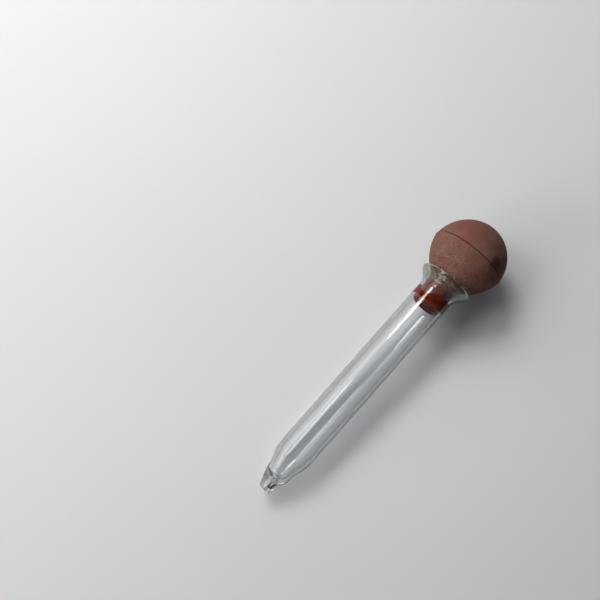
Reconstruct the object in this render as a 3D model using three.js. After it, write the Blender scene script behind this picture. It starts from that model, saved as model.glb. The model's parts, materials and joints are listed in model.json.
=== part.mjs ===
// A blunt-tipped glass bulb syringe: a hand-drawn glass barrel with a flared mouth, and a hollow
// rubber bulb whose neck plugs that mouth. It lies at rest on the bulb's parting ridge and on the
// barrel's shoulder. Millimetres, +Z up, the long axis along X with the tip towards -X, and the
// origin on the floor under the middle of the whole.
//
// Every piece is turned about one axis. Its outline is a list of points (radius, place), where the
// place is measured along the axis from the face of the tip.
import * as THREE from "three";

// All turned pieces share their number of sides, so the neck's flats lie on the bore's flats, and
// the flat that faces the floor is what the object rests on.
const SIDES = 32;
const FLAT_TO_CORNER = 1 / Math.cos(Math.PI / SIDES);

// Glass barrel
const TUBE_RADIUS = 6.75;
const BORE_RADIUS = 5.6;
const WALL = TUBE_RADIUS - BORE_RADIUS;
const ORIFICE_RADIUS = 0.7;
const TIP_FACE_RADIUS = 1.55;
const SHOULDER_PLACE = 18.5;
const FLARE_PLACE = 90.6;
const LIP_PLACE = 98.0;
const LIP_RADIUS = 10.0;
const LIP_LAND = [9.3, 9.7];

// Rubber bulb
const RUBBER_WALL = 2.0;
const NECK_RADIUS = 5.5;
const NECK_BORE_RADIUS = 3.5;
const NECK_END_PLACE = 85.3;
const NECK_TOP_PLACE = 95.4;
const EQUATOR_PLACE = 109.2;
const RIDGE_RADIUS = 14.25;
const RIDGE_HALF_HEIGHT = 0.5;
const PARTING_GAP = 0.3;
// Each half of the ball is a superellipse of a radius, a height and a fullness. 2 is an ellipse,
// and a lower fullness has flatter flanks.
const LOWER_HALF = { radius: 14.1, height: 14.8, fullness: 1.65 };
const CROWN_HALF = { radius: 14.0, height: 13.85, fullness: 1.95 };

// Points of a smooth curve through [place, radius] stations.
function smooth(stations, steps) {
  const curve = new THREE.SplineCurve(stations.map(([place, radius]) => new THREE.Vector2(radius, place)));
  return curve.getPoints(steps);
}

// A stretch of outline moved towards the axis, square to itself.
function inset(points, distance) {
  return points.map((point, i) => {
    const before = points[Math.max(i - 1, 0)];
    const after = points[Math.min(i + 1, points.length - 1)];
    const along = after.clone().sub(before).normalize();
    return new THREE.Vector2(point.x - along.y * distance, point.y + along.x * distance);
  });
}

// One half of the ball, or of its hollow, as a function of the angle up from the equator. The side
// is -1 towards the neck and +1 towards the crown, and the shell is how far inside the skin it lies.
function ballPoint({ radius, height, fullness }, side, angle, shell = 0) {
  const across = (radius - shell) * Math.cos(angle) ** (2 / fullness);
  const along = (height - shell) * Math.sin(angle) ** (2 / fullness);
  return new THREE.Vector2(across, EQUATOR_PLACE + side * along);
}

function ballStretch(half, side, fromAngle, toAngle, steps, shell = 0) {
  const points = [];
  for (let i = 0; i <= steps; i++) {
    points.push(ballPoint(half, side, fromAngle + ((toAngle - fromAngle) * i) / steps, shell));
  }
  return points;
}

// A closed solid of revolution. The outline's radii are those of the flats.
function turned(name, outline, material) {
  const corners = outline.map((point) => new THREE.Vector2(point.x * FLAT_TO_CORNER, point.y));
  const geometry = new THREE.LatheGeometry(corners, SIDES, Math.PI / SIDES);
  const mesh = new THREE.Mesh(geometry, material);
  mesh.name = name;
  return mesh;
}

// The drawn-down nozzle from the tip's face to the full tube: a stub of solid glass, a slight waist
// behind it, and a soft shoulder.
function nozzleOutline() {
  const stations = [
    [0, TIP_FACE_RADIUS],
    [0.3, 2.03],
    [1.0, 2.36],
    [3.0, 2.95],
    [5.0, 3.88],
    [7.3, 4.65],
    [9.4, 4.93],
    [11.5, 5.54],
    [13.5, 6.24],
    [15.7, 6.54],
    [SHOULDER_PLACE, TUBE_RADIUS],
  ];
  return smooth(stations, 20);
}

// The hollow of the nozzle, from the fine orifice through the stub to the full bore.
function cavityOutline() {
  const stations = [
    [4.9, ORIFICE_RADIUS],
    [5.2, 1.4],
    [5.9, 2.4],
    [7.4, 3.4],
    [9.6, 3.8],
    [11.9, 4.45],
    [13.9, 5.12],
    [15.9, 5.42],
    [SHOULDER_PLACE, BORE_RADIUS],
  ];
  return smooth(stations, 16);
}

function flareOutline() {
  const stations = [
    [FLARE_PLACE, TUBE_RADIUS],
    [92.7, 6.92],
    [94.1, 7.66],
    [95.4, 8.85],
    [96.5, 9.7],
  ];
  return smooth(stations, 10);
}

function makeBarrel(material) {
  const nozzle = nozzleOutline();
  const flare = flareOutline();
  const mouth = inset(flare, WALL).reverse();
  const cavity = cavityOutline().reverse();
  const orifice = new THREE.Vector2(ORIFICE_RADIUS, 0);
  const lip = [
    new THREE.Vector2(LIP_RADIUS, LIP_PLACE - 0.6),
    new THREE.Vector2(LIP_LAND[1], LIP_PLACE),
    new THREE.Vector2(LIP_LAND[0], LIP_PLACE),
    new THREE.Vector2(LIP_LAND[0] - 0.25, LIP_PLACE - 0.25),
  ];
  return turned("glass_barrel", [orifice, ...nozzle, ...flare, ...lip, ...mouth, ...cavity, orifice], material);
}

// The neck with its rounded end, and the half of the ball next to it.
function makeBulbBase(material) {
  const partingPlace = EQUATOR_PLACE - PARTING_GAP / 2;
  const neckEnd = smooth(
    [
      [NECK_END_PLACE, 4.3],
      [NECK_END_PLACE + 0.45, 5.05],
      [NECK_END_PLACE + 1.7, NECK_RADIUS],
    ],
    4,
  );
  const fillet = smooth(
    [
      [NECK_TOP_PLACE, NECK_RADIUS],
      [NECK_TOP_PLACE + 1.1, 5.9],
      [NECK_TOP_PLACE + 2.0, 6.95],
    ],
    4,
  );
  const skin = ballStretch(LOWER_HALF, -1, 0.86, 0.06, 12);
  const ridge = [
    new THREE.Vector2(RIDGE_RADIUS, EQUATOR_PLACE - RIDGE_HALF_HEIGHT / 2),
    new THREE.Vector2(RIDGE_RADIUS, partingPlace),
  ];
  const hollowTop = new THREE.Vector2(LOWER_HALF.radius - RUBBER_WALL, partingPlace);
  const hollow = ballStretch(LOWER_HALF, -1, 0.12, 1.15, 9, RUBBER_WALL);
  const bore = [
    new THREE.Vector2(NECK_BORE_RADIUS, EQUATOR_PLACE - 11.6),
    new THREE.Vector2(NECK_BORE_RADIUS, NECK_END_PLACE),
  ];
  return turned("bulb_base", [...neckEnd, ...fillet, ...skin, ...ridge, hollowTop, ...hollow, ...bore, neckEnd[0]], material);
}

// The domed half of the ball that a thumb presses.
function makeBulbCrown(material) {
  const partingPlace = EQUATOR_PLACE + PARTING_GAP / 2;
  const ridgeRadius = RIDGE_RADIUS - 0.1;
  const hollow = ballStretch(CROWN_HALF, 1, Math.PI / 2, 0.12, 10, RUBBER_WALL);
  const foot = [
    new THREE.Vector2(CROWN_HALF.radius - RUBBER_WALL, partingPlace),
    new THREE.Vector2(ridgeRadius, partingPlace),
    new THREE.Vector2(ridgeRadius, EQUATOR_PLACE + RIDGE_HALF_HEIGHT / 2),
  ];
  const skin = ballStretch(CROWN_HALF, 1, 0.06, Math.PI / 2, 14);
  hollow[0].x = 0;
  skin[skin.length - 1].x = 0;
  return turned("bulb_crown", [...hollow, ...foot, ...skin], material);
}

// How far the axis tips up from the floor when the ridge and the shoulder both touch it: the line
// from the ridge that clears the whole nozzle.
function restTilt() {
  const slopes = nozzleOutline().map(
    (point) => (RIDGE_RADIUS - point.x) / (EQUATOR_PLACE - RIDGE_HALF_HEIGHT / 2 - point.y),
  );
  return Math.atan(Math.min(...slopes));
}

const glass = new THREE.MeshStandardMaterial({
  color: 0xd3dadc,
  roughness: 0.06,
  metalness: 0,
  transparent: true,
  opacity: 0.35,
});
const rubber = new THREE.MeshStandardMaterial({ color: 0x7a4238, roughness: 0.88, metalness: 0 });

const alongX = new THREE.Group();
alongX.rotation.z = -Math.PI / 2;
alongX.add(makeBarrel(glass));
alongX.add(makeBulbBase(rubber));
alongX.add(makeBulbCrown(rubber));

const syringe = new THREE.Group();
syringe.rotation.y = -restTilt();
syringe.add(alongX);

const box = new THREE.Box3().setFromObject(syringe, true);
const middle = box.getCenter(new THREE.Vector3());
syringe.position.set(-middle.x, -middle.y, -box.min.z);

export default syringe;
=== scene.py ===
import json
import math

import bmesh
import bpy
from mathutils import Matrix, Vector, noise


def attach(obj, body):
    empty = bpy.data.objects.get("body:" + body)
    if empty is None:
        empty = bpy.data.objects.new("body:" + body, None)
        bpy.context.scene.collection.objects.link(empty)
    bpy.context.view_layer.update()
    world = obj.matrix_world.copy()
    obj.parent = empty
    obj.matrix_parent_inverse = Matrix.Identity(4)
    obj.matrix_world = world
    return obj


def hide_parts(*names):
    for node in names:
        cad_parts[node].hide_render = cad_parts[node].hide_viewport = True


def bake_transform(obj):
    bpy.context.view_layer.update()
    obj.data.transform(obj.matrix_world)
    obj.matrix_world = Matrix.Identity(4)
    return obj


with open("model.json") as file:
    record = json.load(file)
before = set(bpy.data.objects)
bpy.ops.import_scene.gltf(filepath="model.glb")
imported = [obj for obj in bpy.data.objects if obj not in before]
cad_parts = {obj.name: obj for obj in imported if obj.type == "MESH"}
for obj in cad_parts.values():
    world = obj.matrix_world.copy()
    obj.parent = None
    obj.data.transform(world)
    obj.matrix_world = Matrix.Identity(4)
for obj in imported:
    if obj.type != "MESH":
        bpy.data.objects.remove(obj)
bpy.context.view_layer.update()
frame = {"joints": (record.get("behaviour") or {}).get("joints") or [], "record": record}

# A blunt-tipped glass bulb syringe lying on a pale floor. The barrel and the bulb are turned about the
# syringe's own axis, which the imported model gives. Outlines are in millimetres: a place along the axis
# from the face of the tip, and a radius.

MM = 0.001
RECORD = frame["record"]

# The syringe's own frame: AXIS runs from the tip to the bulb, and TIP is the middle of the tip's face.
PULL = next(joint for joint in frame["joints"] if joint["name"] == "bulb_pull")
TIP_FACE = next(mount for mount in RECORD["mounts"] if mount["name"] == "tip_face")
AXIS = Vector(PULL["axis"]).normalized()
ACROSS = Vector((0.0, 1.0, 0.0))
UP = AXIS.cross(ACROSS)
TIP = Vector((TIP_FACE["pos_m"][0], 0.0, TIP_FACE["pos_m"][2]))

# Glass barrel
TUBE_RADIUS = 6.75
BORE_RADIUS = 5.6
WALL = TUBE_RADIUS - BORE_RADIUS
ORIFICE_RADIUS = 0.7
SHOULDER_PLACE = 18.5
FLARE_PLACE = 90.6
LIP_BEAD_PLACE = 97.35
LIP_BEAD_MIDDLE_RADIUS = 9.38
LIP_BEAD_SIZE = 0.62
STUB_PLACE = 4.9
WEDGE_TURN = 0.62
GLASS_SIDES = 128

# Rubber bulb
RUBBER_WALL = 2.0
NECK_RADIUS = 5.56
NECK_BORE_RADIUS = 3.5
NECK_END_PLACE = 85.3
NECK_TOP_PLACE = 95.4
EQUATOR_PLACE = 109.2
RIDGE_RADIUS = 14.25
LOWER_HALF = {"radius": 14.1, "height": 14.8, "fullness": 1.65}
CROWN_HALF = {"radius": 14.0, "height": 13.85, "fullness": 1.95}
RUBBER_SIDES = 160
GRIP_DEPTH = 0.08
SMUDGE = (110.9, -7.6, 11.9)

# Camera and light
SENSOR_MM = 36.0
LENS_MM = 36.06
CAMERA_TARGET = Vector((-0.00223, 0.03551, 0.0))
CAMERA_AZIMUTH = math.radians(-150.51)
CAMERA_ELEVATION = math.radians(81.65)
CAMERA_DISTANCE = 0.22645
CAMERA_ROLL = math.radians(12.39)
FLOOR_RADIUS = 0.75
FLOOR_DROP = 0.0001


def at(place, across=0.0, up=0.0):
    """A point of the syringe's own frame, given in millimetres, in the row frame."""
    return TIP + (AXIS * place + ACROSS * across + UP * up) * MM


def smooth(stations, steps):
    """Points of a smooth curve through (place, radius) stations, steps of them to each span."""
    points = []
    last = len(stations) - 1
    for i in range(last):
        before = Vector(stations[max(i - 1, 0)])
        start = Vector(stations[i])
        end = Vector(stations[i + 1])
        after = Vector(stations[min(i + 2, last)])
        leave = (end - before) / 2
        arrive = (after - start) / 2
        for step in range(steps):
            t = step / steps
            points.append(
                start * (2 * t**3 - 3 * t**2 + 1)
                + leave * (t**3 - 2 * t**2 + t)
                + end * (3 * t**2 - 2 * t**3)
                + arrive * (t**3 - t**2)
            )
    points.append(Vector(stations[last]))
    return points


def inset(points, distance):
    """A stretch of outline moved towards the axis, square to itself."""
    moved = []
    for i, point in enumerate(points):
        along = (points[min(i + 1, len(points) - 1)] - points[max(i - 1, 0)]).normalized()
        moved.append(Vector((point.x + along.y * distance, point.y - along.x * distance)))
    return moved


def arc(middle, radius, start_deg, end_deg, steps):
    """Points of an arc, whose angle is 0 towards the bulb and 90 away from the axis."""
    points = []
    for i in range(steps + 1):
        angle = math.radians(start_deg + (end_deg - start_deg) * i / steps)
        points.append(middle + Vector((math.cos(angle), math.sin(angle))) * radius)
    return points


def turned(name, outline, sides, shape=None):
    """A closed solid turned about the axis. The outline closes on itself, or starts and ends on the axis.
    shape may move a point (place, across, up). The unmoved point is kept in the attribute rest, and
    whether the neck touches the glass there in the attribute grip."""
    mesh = bpy.data.meshes.new(name)
    work = bmesh.new()
    rest = work.verts.layers.float_vector.new("rest")
    grip = work.verts.layers.float.new("grip")

    def add(place, across, up):
        point = shape(place, across, up) if shape else (place, across, up)
        vert = work.verts.new(at(*point))
        vert[rest] = (place, across, up)
        vert[grip] = contact(place, across, up)
        return vert

    rings = []
    for place, radius in outline:
        if radius == 0.0:
            rings.append([add(place, 0.0, 0.0)] * sides)
            continue
        turns = [2 * math.pi * k / sides for k in range(sides)]
        rings.append([add(place, radius * math.cos(turn), radius * math.sin(turn)) for turn in turns])
    closed = outline[0][1] > 0.0
    for i in range(len(rings) if closed else len(rings) - 1):
        one, other = rings[i], rings[(i + 1) % len(rings)]
        for k in range(sides):
            corners = [one[k], one[(k + 1) % sides], other[(k + 1) % sides], other[k]]
            work.faces.new(list(dict.fromkeys(corners)))
    bmesh.ops.recalc_face_normals(work, faces=work.faces)
    for face in work.faces:
        face.smooth = True
    work.to_mesh(mesh)
    work.free()
    piece = bpy.data.objects.new(name, mesh)
    bpy.context.scene.collection.objects.link(piece)
    return piece


# ---------------------------------------------------------------- glass barrel


def barrel_outline():
    """The glass from the orifice out over the nozzle, along the tube, round the lip and back inside."""
    tip_edge = arc(Vector((0.55, 1.5)), 0.55, 180, 118, 5)
    nozzle = smooth(
        [
            (0.3, 2.0),
            (1.0, 2.36),
            (3.0, 2.95),
            (5.0, 3.88),
            (7.3, 4.65),
            (9.4, 4.93),
            (11.5, 5.54),
            (13.5, 6.24),
            (15.7, 6.54),
            (SHOULDER_PLACE, TUBE_RADIUS),
        ],
        6,
    )
    flare = smooth(
        [(FLARE_PLACE, TUBE_RADIUS), (92.7, 6.92), (94.1, 7.66), (95.4, 8.85), (96.5, 9.7)],
        8,
    )
    tube_steps = 12
    tube = [
        Vector((SHOULDER_PLACE + (FLARE_PLACE - SHOULDER_PLACE) * i / tube_steps, TUBE_RADIUS))
        for i in range(1, tube_steps)
    ]
    bore = [Vector((point.x, BORE_RADIUS)) for point in reversed(tube)]
    lip = arc(Vector((LIP_BEAD_PLACE, LIP_BEAD_MIDDLE_RADIUS)), LIP_BEAD_SIZE, 125, -85, 16)
    mouth = inset(flare, WALL)[::-1]
    cavity = smooth(
        [
            (STUB_PLACE, ORIFICE_RADIUS),
            (5.2, 1.4),
            (5.9, 2.4),
            (7.4, 3.4),
            (9.6, 3.8),
            (11.9, 4.45),
            (13.9, 5.12),
            (15.9, 5.42),
            (SHOULDER_PLACE, BORE_RADIUS),
        ],
        6,
    )[::-1]
    orifice = [Vector((0.25, ORIFICE_RADIUS)), Vector((0.0, ORIFICE_RADIUS + 0.2))]
    return tip_edge + nozzle + tube + flare + lip + mouth + bore + cavity + orifice


def hand_drawn(place, across, up):
    """The small unevenness of glass worked by hand: a nozzle a little off its line, a fluted stub, and
    a lip that isn't quite flat or round."""
    turn = math.atan2(up, across)
    nozzle_share = max(0.0, 1 - place / SHOULDER_PLACE)
    off_line = 0.22 * nozzle_share * math.sin(0.62 * place)
    lip_share = max(0.0, (place - 94.0) / 4.0)
    swell = 1 + 0.012 * lip_share * math.cos(2 * turn + 0.6) - 0.006 * lip_share
    lean = 0.12 * lip_share * math.sin(3 * turn)
    # The stub is faintly fluted, and its end is wider on one side.
    stub_share = min(max((STUB_PLACE - place) / 1.5, 0.0), 1.0)
    flutes = math.sin(9 * turn + 1.0) + 0.8 * math.sin(14 * turn + 2.2) + 0.7 * math.sin(5 * turn)
    if math.hypot(across, up) > ORIFICE_RADIUS + 0.3:
        swell += 0.014 * stub_share * flutes
        if across < 0:
            across *= 1 + 0.26 * max(0.0, 1 - place / 3.4)
    return place + lean, across * swell + off_line, up * swell


# ---------------------------------------------------------------- rubber bulb


def ball_stretch(half, side, start, end, steps, shell=0.0):
    """Part of one half of the ball or its hollow. The angles run up from the equator, in radians."""
    power = 2 / half["fullness"]
    points = []
    for i in range(steps + 1):
        angle = start + (end - start) * i / steps
        radius = (half["radius"] - shell) * max(math.cos(angle), 0.0) ** power
        along = (half["height"] - shell) * math.sin(angle) ** power
        points.append(Vector((EQUATOR_PLACE + side * along, radius)))
    return points


def bulb_outline():
    """The rubber from the top of the crown down its skin to the neck's end, and back up its inside."""
    crown = ball_stretch(CROWN_HALF, 1, math.pi / 2, 0.05, 44)
    crown[0].y = 0.0
    ridge = [
        Vector((EQUATOR_PLACE + 0.34, 13.9)),
        Vector((EQUATOR_PLACE + 0.24, 14.06)),
        Vector((EQUATOR_PLACE + 0.12, RIDGE_RADIUS - 0.04)),
        Vector((EQUATOR_PLACE - 0.05, RIDGE_RADIUS)),
        Vector((EQUATOR_PLACE - 0.22, RIDGE_RADIUS - 0.03)),
    ]
    lower = ball_stretch(LOWER_HALF, -1, 0.06, 0.86, 36)
    fillet = smooth([tuple(lower[-1]), (97.4, 6.95), (96.5, 5.98), (NECK_TOP_PLACE, NECK_RADIUS)], 6)[1:]
    rounding = smooth([(87.1, NECK_RADIUS - 0.04), (86.5, 5.36), (85.7, 5.05), (NECK_END_PLACE, 4.35)], 4)
    steps = 56
    straight = 87.25 - NECK_TOP_PLACE
    neck = [Vector((NECK_TOP_PLACE + straight * i / steps, NECK_RADIUS)) for i in range(1, steps + 1)]
    bore = smooth(
        [
            (NECK_END_PLACE, 3.8),
            (85.6, NECK_BORE_RADIUS),
            (91.0, NECK_BORE_RADIUS),
            (97.0, NECK_BORE_RADIUS),
        ],
        3,
    )
    hollow = ball_stretch(LOWER_HALF, -1, 1.15, 0.05, 16, RUBBER_WALL)
    dome = ball_stretch(CROWN_HALF, 1, 0.05, math.pi / 2, 20, RUBBER_WALL)
    dome[-1].y = 0.0
    return crown + ridge + lower + fillet + neck + rounding + bore + hollow + dome


def contact(place, across, up):
    """1 where the neck touches the glass, up to a slanting wavy edge, and 0 where it hangs clear."""
    side = math.degrees(math.atan2(across, up))
    edge = FLARE_PLACE - 3.4 * math.sin(math.radians(side - 2))
    edge += 3.8 * math.exp(-(((side - 85) / 30) ** 2))
    edge += 0.35 * noise.noise(Vector((across, up, 0.0)) * 0.5)
    start = NECK_END_PLACE + 1.2 - 0.4 * abs(math.sin(math.radians(side)))
    start += 0.3 * noise.noise(Vector((across, up, 9.0)) * 0.4)
    within = min(place - start, edge - place)
    return min(max(within / 0.3 + 0.5, 0.0), 1.0)


def moulded(place, across, up):
    """The unevenness of an old rubber bulb: a lumpy skin, nicks along the parting ridge, and a neck that
    grips the glass in patches."""
    radius = math.hypot(across, up)
    if NECK_END_PLACE + 0.8 < place < NECK_TOP_PLACE and radius > NECK_RADIUS - 0.2:
        share = 1 + GRIP_DEPTH * contact(place, across, up) / radius
        return place, across * share, up * share
    if radius < 1e-6 or place < NECK_TOP_PLACE:
        return place, across, up
    lump = noise.noise(Vector((place, across, up)) * 0.12 + Vector((3.1, 7.7, 1.3)))
    swell = -0.06 + 0.06 * lump
    if radius > RIDGE_RADIUS - 0.3 and abs(place - EQUATOR_PLACE) < 0.4:
        nick = noise.noise(Vector((across, up, 0.0)) * 0.9)
        swell -= 0.3 * max(0.0, nick - 0.05)
    share = (radius + swell) / radius
    return place, across * share, up * share


# ---------------------------------------------------------------- materials


class Nodes:
    """A short way to write the nodes of a material or of the world."""

    def __init__(self, owner):
        owner.use_nodes = True
        self.owner = owner
        self.tree = owner.node_tree
        self.surface = self.tree.nodes.get("Principled BSDF")

    def add(self, kind, settings=None, **inputs):
        node = self.tree.nodes.new(kind)
        for key, value in (settings or {}).items():
            setattr(node, key, value)
        for key, value in inputs.items():
            self.set(node, key.replace("_", " "), value)
        return node

    def set(self, node, name, value):
        socket = node.inputs[int(name)] if name.isdigit() else node.inputs[name]
        if isinstance(value, bpy.types.NodeSocket):
            self.tree.links.new(value, socket)
        else:
            socket.default_value = value

    def math(self, operation, one, other=0.0):
        node = self.add("ShaderNodeMath", {"operation": operation})
        self.set(node, "0", one)
        self.set(node, "1", other)
        return node.outputs[0]

    def ramp(self, value, low, high, start=0.0, end=1.0):
        node = self.add("ShaderNodeMapRange", {"interpolation_type": "SMOOTHSTEP"})
        self.set(node, "Value", value)
        self.set(node, "From Min", low)
        self.set(node, "From Max", high)
        self.set(node, "To Min", start)
        self.set(node, "To Max", end)
        return node.outputs[0]

    def mix(self, share, one, other):
        node = self.add("ShaderNodeMix", {"data_type": "RGBA"})
        self.set(node, "0", share)
        self.set(node, "6", one)
        self.set(node, "7", other)
        return node.outputs[2]

    def rest(self):
        return self.add("ShaderNodeAttribute", {"attribute_name": "rest"}).outputs["Vector"]

    def noise(self, where, scale, detail=2.0, roughness=0.5):
        node = self.add("ShaderNodeTexNoise", Vector=where, Scale=scale, Detail=detail, Roughness=roughness)
        return node.outputs[0]

    def bump(self, height, distance, strength=1.0):
        return self.add("ShaderNodeBump", Height=height, Distance=distance, Strength=strength).outputs[0]


def tip_ring_and_painted_shade(n, rest, place):
    """A dark broken ring at the foot of the hollow, and a painted shade: a dark wedge down the stub on the
    side away from the lights."""
    split = n.add("ShaderNodeSeparateXYZ", Vector=rest)
    across, up = split.outputs[1], split.outputs[2]
    radius = n.math("POWER", n.math("ADD", n.math("POWER", across, 2.0), n.math("POWER", up, 2.0)), 0.5)
    patchy = n.ramp(n.noise(rest, 1.3, 2.0), 0.4, 0.55)
    inside = n.ramp(radius, 2.3, 2.6, 1.0, 0.0)
    ring = n.math("MULTIPLY", n.ramp(place, 5.0, 5.15), n.ramp(place, 5.5, 5.9, 1.0, 0.0))
    ring = n.math("MULTIPLY", n.math("MULTIPLY", ring, inside), patchy)
    turn = n.math("ARCTAN2", n.math("MULTIPLY", across, -1.0), up)
    off_wedge = n.math("ABSOLUTE", n.math("SUBTRACT", turn, WEDGE_TURN))
    width = n.ramp(place, 1.4, STUB_PLACE, 0.34, 0.14)
    wedge = n.ramp(n.math("SUBTRACT", off_wedge, width), -0.08, 0.04, 1.0, 0.0)
    wedge = n.math("MULTIPLY", wedge, n.ramp(place, 1.2, 1.9))
    wedge = n.math("MULTIPLY", wedge, n.ramp(place, 4.5, 5.0, 1.0, 0.0))
    return n.math("MAXIMUM", n.math("MULTIPLY", ring, 0.97), wedge)


def glass_material():
    """Old clear soda glass. It takes a little of the light it carries, so it darkens where it is thick, and
    the worked lip is greener. A painted shade darkens it where it is seen edge on, more on the flare, less
    on the lip."""
    n = Nodes(bpy.data.materials.new("clear_glass"))
    clear = (0.99, 0.995, 1.0, 1.0)
    drawn = (0.96, 0.975, 0.985, 1.0)
    flare = (0.85, 0.87, 0.84, 1.0)
    lip = (0.6, 0.64, 0.5, 1.0)
    edge = (0.05, 0.06, 0.07, 1.0)
    tip_ring_and_shade_dark = (0.003, 0.003, 0.003, 1.0)
    depth_colour = (0.19, 0.235, 0.25, 1.0)

    rest = n.rest()
    place = n.add("ShaderNodeSeparateXYZ", Vector=rest).outputs[0]
    # Drawing leaves faint lines along the tube.
    stretch = n.add("ShaderNodeVectorMath", {"operation": "MULTIPLY"})
    n.set(stretch, "0", rest)
    n.set(stretch, "1", (0.02, 0.3, 0.3))
    body = n.mix(n.noise(stretch.outputs[0], 1.0, 1.0), drawn, clear)
    colour = n.mix(n.ramp(place, 92.5, 95.5), body, flare)
    colour = n.mix(n.ramp(place, 96.5, 97.0), colour, lip)
    # Painted shade: the glass is darkened where it is seen edge on, more on the flare and less on the lip.
    edge_on = n.add("ShaderNodeLayerWeight").outputs["Facing"]
    rim = n.math("MULTIPLY", n.ramp(edge_on, 0.15, 0.7), n.ramp(place, 90.0, 94.0, 0.52, 0.68))
    rim = n.math("MULTIPLY", rim, n.ramp(place, 96.3, 97.0, 1.0, 0.3))
    colour = n.mix(rim, colour, edge)
    # The tip's dark ring, and a painted shade down the stub on the side away from the lights.
    colour = n.mix(tip_ring_and_painted_shade(n, rest, place), colour, tip_ring_and_shade_dark)
    n.set(n.surface, "Base Color", colour)
    n.set(n.surface, "Transmission Weight", 1.0)
    n.set(n.surface, "IOR", 1.5)
    n.set(n.surface, "Roughness", n.ramp(place, 0.3, 1.2, 0.25, 0.02))
    depth = n.add("ShaderNodeVolumeAbsorption", Color=depth_colour, Density=70.0)
    n.set(n.tree.nodes["Material Output"], "Volume", depth.outputs[0])
    return n.owner


def rubber_material():
    """Aged red-brown rubber. It has a pale bloom, dusty specks towards the neck, a painted shade by the
    mouth of the glass, a smudge by the parting line, and it looks wet and red where the neck grips the
    glass."""
    n = Nodes(bpy.data.materials.new("red_rubber"))
    rest = n.rest()
    place = n.add("ShaderNodeSeparateXYZ", Vector=rest).outputs[0]
    red = (0.15, 0.048, 0.035, 1.0)
    bloom = (0.165, 0.08, 0.062, 1.0)
    dark = (0.08, 0.024, 0.018, 1.0)
    speck = (0.5, 0.33, 0.26, 1.0)
    dust = (0.5, 0.34, 0.24, 1.0)
    line = (0.055, 0.008, 0.006, 1.0)
    stain = (0.04, 0.011, 0.009, 1.0)
    neck = (0.17, 0.033, 0.02, 1.0)
    neck_end = (0.08, 0.018, 0.01, 1.0)
    wet = (0.28, 0.03, 0.01, 1.0)
    wet_dark = (0.18, 0.015, 0.006, 1.0)

    patches = n.ramp(n.noise(rest, 0.11, 3.0, 0.6), 0.36, 0.6)
    colour = n.mix(n.ramp(patches, 0.0, 1.0, 0.45, 0.95), red, bloom)
    below_line = n.ramp(place, EQUATOR_PLACE - 1.0, EQUATOR_PLACE, 1.0, 0.0)
    mottle = n.ramp(n.noise(rest, 0.7, 5.0, 0.85), 0.46, 0.7)
    mottle = n.math("MULTIPLY", mottle, n.ramp(below_line, 0.0, 1.0, 0.12, 0.6))
    colour = n.mix(mottle, colour, dark)

    # Fine specks thin out from the neck to the parting line. Near the mouth of the glass a painted shade
    # darkens the skin, and dust lies there.
    cells = n.add("ShaderNodeTexVoronoi", Vector=rest, Scale=1.9)
    chosen = n.ramp(n.add("ShaderNodeSeparateColor", Color=cells.outputs["Color"]).outputs[0], 0.4, 0.45)
    dots = n.math("MULTIPLY", n.ramp(cells.outputs["Distance"], 0.3, 0.42, 1.0, 0.0), chosen)
    few = n.ramp(n.noise(rest, 0.3, 2.0, 0.5), 0.35, 0.65, 0.3, 1.0)
    spread = n.math("MULTIPLY", n.ramp(place, 97.0, 113.0, 1.0, 0.06), few)
    colour = n.mix(n.math("MULTIPLY", n.math("MULTIPLY", dots, spread), 0.42), colour, speck)
    near_mouth = n.math("MULTIPLY", n.ramp(place, 93.8, 95.4), n.ramp(place, 96.6, 101.5, 1.0, 0.0))
    # Painted shade round the mouth of the glass, where it meets the bulb.
    colour = n.mix(n.math("MULTIPLY", near_mouth, 0.3), colour, dark)
    dusty = n.ramp(n.noise(rest, 1.9, 4.0, 0.8), 0.47, 0.6)
    colour = n.mix(n.math("MULTIPLY", n.math("MULTIPLY", dusty, near_mouth), 0.75), colour, dust)

    # Pale paired rings round the neck, the dark parting line, and the smudge beside it.
    from_rings = n.math("PINGPONG", n.math("SUBTRACT", place, 93.55), 0.45)
    rings = n.math("MULTIPLY", n.ramp(from_rings, 0.06, 0.16, 1.0, 0.0), n.ramp(place, 93.0, 93.2))
    rings = n.math("MULTIPLY", rings, n.ramp(place, 94.6, 94.8, 0.4, 0.0))
    colour = n.mix(rings, colour, dust)
    from_line = n.math("ABSOLUTE", n.math("SUBTRACT", place, EQUATOR_PLACE + 0.32))
    colour = n.mix(n.ramp(from_line, 0.1, 0.36, 0.85, 0.0), colour, line)
    smudge = n.add("ShaderNodeVectorMath", {"operation": "DISTANCE"})
    n.set(smudge, "0", rest)
    n.set(smudge, "1", SMUDGE)
    smudged = n.math("ADD", smudge.outputs["Value"], n.math("MULTIPLY", n.noise(rest, 0.4, 3.0), 3.0))
    colour = n.mix(n.ramp(smudged, 2.4, 5.0, 0.75, 0.0), colour, stain)

    # The neck is redder, darker towards its end, and wet red where it grips.
    colour = n.mix(n.ramp(place, NECK_TOP_PLACE - 1.4, NECK_TOP_PLACE + 0.4, 0.6, 0.0), colour, neck)
    colour = n.mix(n.ramp(place, NECK_END_PLACE + 1.6, NECK_END_PLACE + 4.0, 0.85, 0.0), colour, neck_end)
    grip = n.ramp(n.add("ShaderNodeAttribute", {"attribute_name": "grip"}).outputs["Fac"], 0.3, 0.7)
    depth_of_red = n.ramp(n.noise(rest, 0.5, 2.0), 0.35, 0.65)
    colour = n.mix(grip, colour, n.mix(depth_of_red, wet, wet_dark))
    n.set(n.surface, "Base Color", colour)
    n.set(n.surface, "Roughness", 0.9)
    n.set(n.surface, "Specular IOR Level", n.ramp(grip, 0.0, 1.0, 0.22, 0.0))
    grain = n.math("ADD", n.noise(rest, 1.6, 4.0, 0.7), n.math("MULTIPLY", dots, 0.25))
    depth = n.math("MULTIPLY", grain, n.math("ADD", below_line, 0.35))
    n.set(n.surface, "Normal", n.bump(depth, 0.00022, 0.8))
    return n.owner


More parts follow.
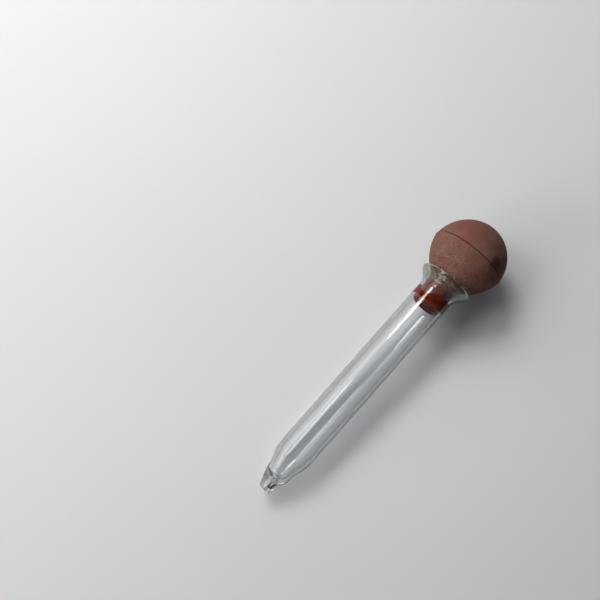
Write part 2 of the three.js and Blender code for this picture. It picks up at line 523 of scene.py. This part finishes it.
def floor_material():
    """A plain pale grey surface."""
    n = Nodes(bpy.data.materials.new("pale_floor"))
    where = n.add("ShaderNodeTexCoord").outputs["Object"]
    tone = n.ramp(n.noise(where, 6.0, 2.0), 0.3, 0.7)
    n.set(n.surface, "Base Color", n.mix(tone, (0.73, 0.73, 0.73, 1.0), (0.75, 0.75, 0.75, 1.0)))
    n.set(n.surface, "Roughness", 0.9)
    n.set(n.surface, "Specular IOR Level", 0.1)
    return n.owner


# ---------------------------------------------------------------- pieces


def make_barrel():
    barrel = turned("barrel_glass", barrel_outline(), GLASS_SIDES, hand_drawn)
    barrel.data.materials.append(glass_material())
    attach(barrel, "barrel")
    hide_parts("glass_barrel")


def make_bulb():
    bulb = turned("bulb_rubber", bulb_outline(), RUBBER_SIDES, moulded)
    bulb.data.materials.append(rubber_material())
    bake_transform(bulb)
    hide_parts("bulb_base", "bulb_crown")


# ---------------------------------------------------------------- floor, light and camera


def make_floor():
    mesh = bpy.data.meshes.new("floor")
    sides = 96
    turns = [2 * math.pi * k / sides for k in range(sides)]
    rim = [(FLOOR_RADIUS * math.cos(turn), FLOOR_RADIUS * math.sin(turn), 0.0) for turn in turns]
    mesh.from_pydata(rim, [], [tuple(range(sides))])
    floor = bpy.data.objects.new("floor", mesh)
    floor.location.z = -FLOOR_DROP
    mesh.materials.append(floor_material())
    bpy.context.scene.collection.objects.link(floor)


def area_light(name, place, size, power, shape="RECTANGLE", mirrored=True):
    """An area light at a place, facing the middle of the syringe, its long side along X. The glass mirrors
    only the lights that are meant to streak it."""
    data = bpy.data.lights.new(name, "AREA")
    data.shape = shape
    data.size, data.size_y = size
    data.energy = power
    light = bpy.data.objects.new(name, data)
    light.visible_glossy = mirrored
    towards = (Vector((0.0, 0.0, 0.01)) - Vector(place)).normalized()
    side = Vector((1.0, 0.0, 0.0))
    side = (side - towards * side.dot(towards)).normalized()
    back = -towards
    turn = Matrix((side, back.cross(side), back)).transposed().to_4x4()
    light.matrix_world = Matrix.Translation(place) @ turn
    bpy.context.scene.collection.objects.link(light)


def surround():
    """A dim studio with a pale backdrop round its foot. The backdrop is seen, directly or through the
    glass, but lights nothing."""
    n = Nodes(bpy.data.worlds.new("surround"))
    dim = n.tree.nodes["Background"]
    n.set(dim, "Color", (0.86, 0.93, 1.0, 1.0))
    n.set(dim, "Strength", 0.06)
    backdrop = n.add("ShaderNodeBackground", Color=(0.46, 0.47, 0.48, 1.0))
    direction = n.add("ShaderNodeTexCoord").outputs["Generated"]
    height = n.add("ShaderNodeSeparateXYZ", Vector=direction).outputs["Z"]
    low_down = n.ramp(height, 0.65, 0.2, 0.25, 1.0)
    path = n.add("ShaderNodeLightPath").outputs
    seen = n.math("MAXIMUM", path["Is Camera Ray"], path["Is Transmission Ray"])
    not_lighting = n.math("LESS_THAN", path["Diffuse Depth"], 0.5)
    share = n.math("MULTIPLY", n.math("MULTIPLY", low_down, seen), not_lighting)
    both = n.add("ShaderNodeMixShader")
    n.set(both, "0", share)
    n.set(both, "1", dim.outputs[0])
    n.set(both, "2", backdrop.outputs[0])
    n.set(n.tree.nodes["World Output"], "Surface", both.outputs[0])
    return n.owner


def make_lights():
    """Two slim lights along the +Y side that streak the glass, soft light from the same side, and a dim
    surround. Places and sizes are in metres, and powers in watts."""
    area_light("slim_near_bulb", (0.19, 0.449, 0.467), (0.34, 0.2), 2.2, shape="ELLIPSE")
    area_light("slim_near_tip", (-0.19, 0.395, 0.493), (0.3, 0.18), 0.68, shape="ELLIPSE")
    area_light("window", (-0.1, 0.66, 0.42), (0.7, 0.4), 2.6, mirrored=False)
    area_light("far_right", (0.75, 0.6, 0.5), (0.3, 0.3), 0.5, mirrored=False)
    area_light("far_left", (-0.95, 0.55, 0.35), (0.6, 0.6), 5.0, mirrored=False)
    bpy.context.scene.world = surround()


def make_camera():
    data = bpy.data.cameras.new("camera")
    data.sensor_width = SENSOR_MM
    data.lens = LENS_MM
    data.clip_start = 0.005
    camera = bpy.data.objects.new("camera", data)
    back = Vector(
        (
            math.cos(CAMERA_ELEVATION) * math.cos(CAMERA_AZIMUTH),
            math.cos(CAMERA_ELEVATION) * math.sin(CAMERA_AZIMUTH),
            math.sin(CAMERA_ELEVATION),
        )
    )
    right = Vector((0.0, 0.0, 1.0)).cross(back).normalized()
    upward = back.cross(right)
    turn = Matrix((right, upward, back)).transposed().to_4x4()
    roll = Matrix.Rotation(CAMERA_ROLL, 4, "Z")
    camera.matrix_world = Matrix.Translation(CAMERA_TARGET + back * CAMERA_DISTANCE) @ turn @ roll
    bpy.context.scene.collection.objects.link(camera)
    bpy.context.scene.camera = camera


make_camera()
make_floor()
make_lights()
make_barrel()
make_bulb()
bpy.context.scene.view_settings.view_transform = "Standard"
# Light that has come through the glass is kept whole, or the glass would cast a shadow like a solid's.
bpy.context.scene.cycles.blur_glossy = 0.0
bpy.context.scene.cycles.sample_clamp_indirect = 0.0
# Guided sampling finds the light that comes through the glass, so the tube's edges come out straight.
bpy.context.scene.cycles.use_guiding = True
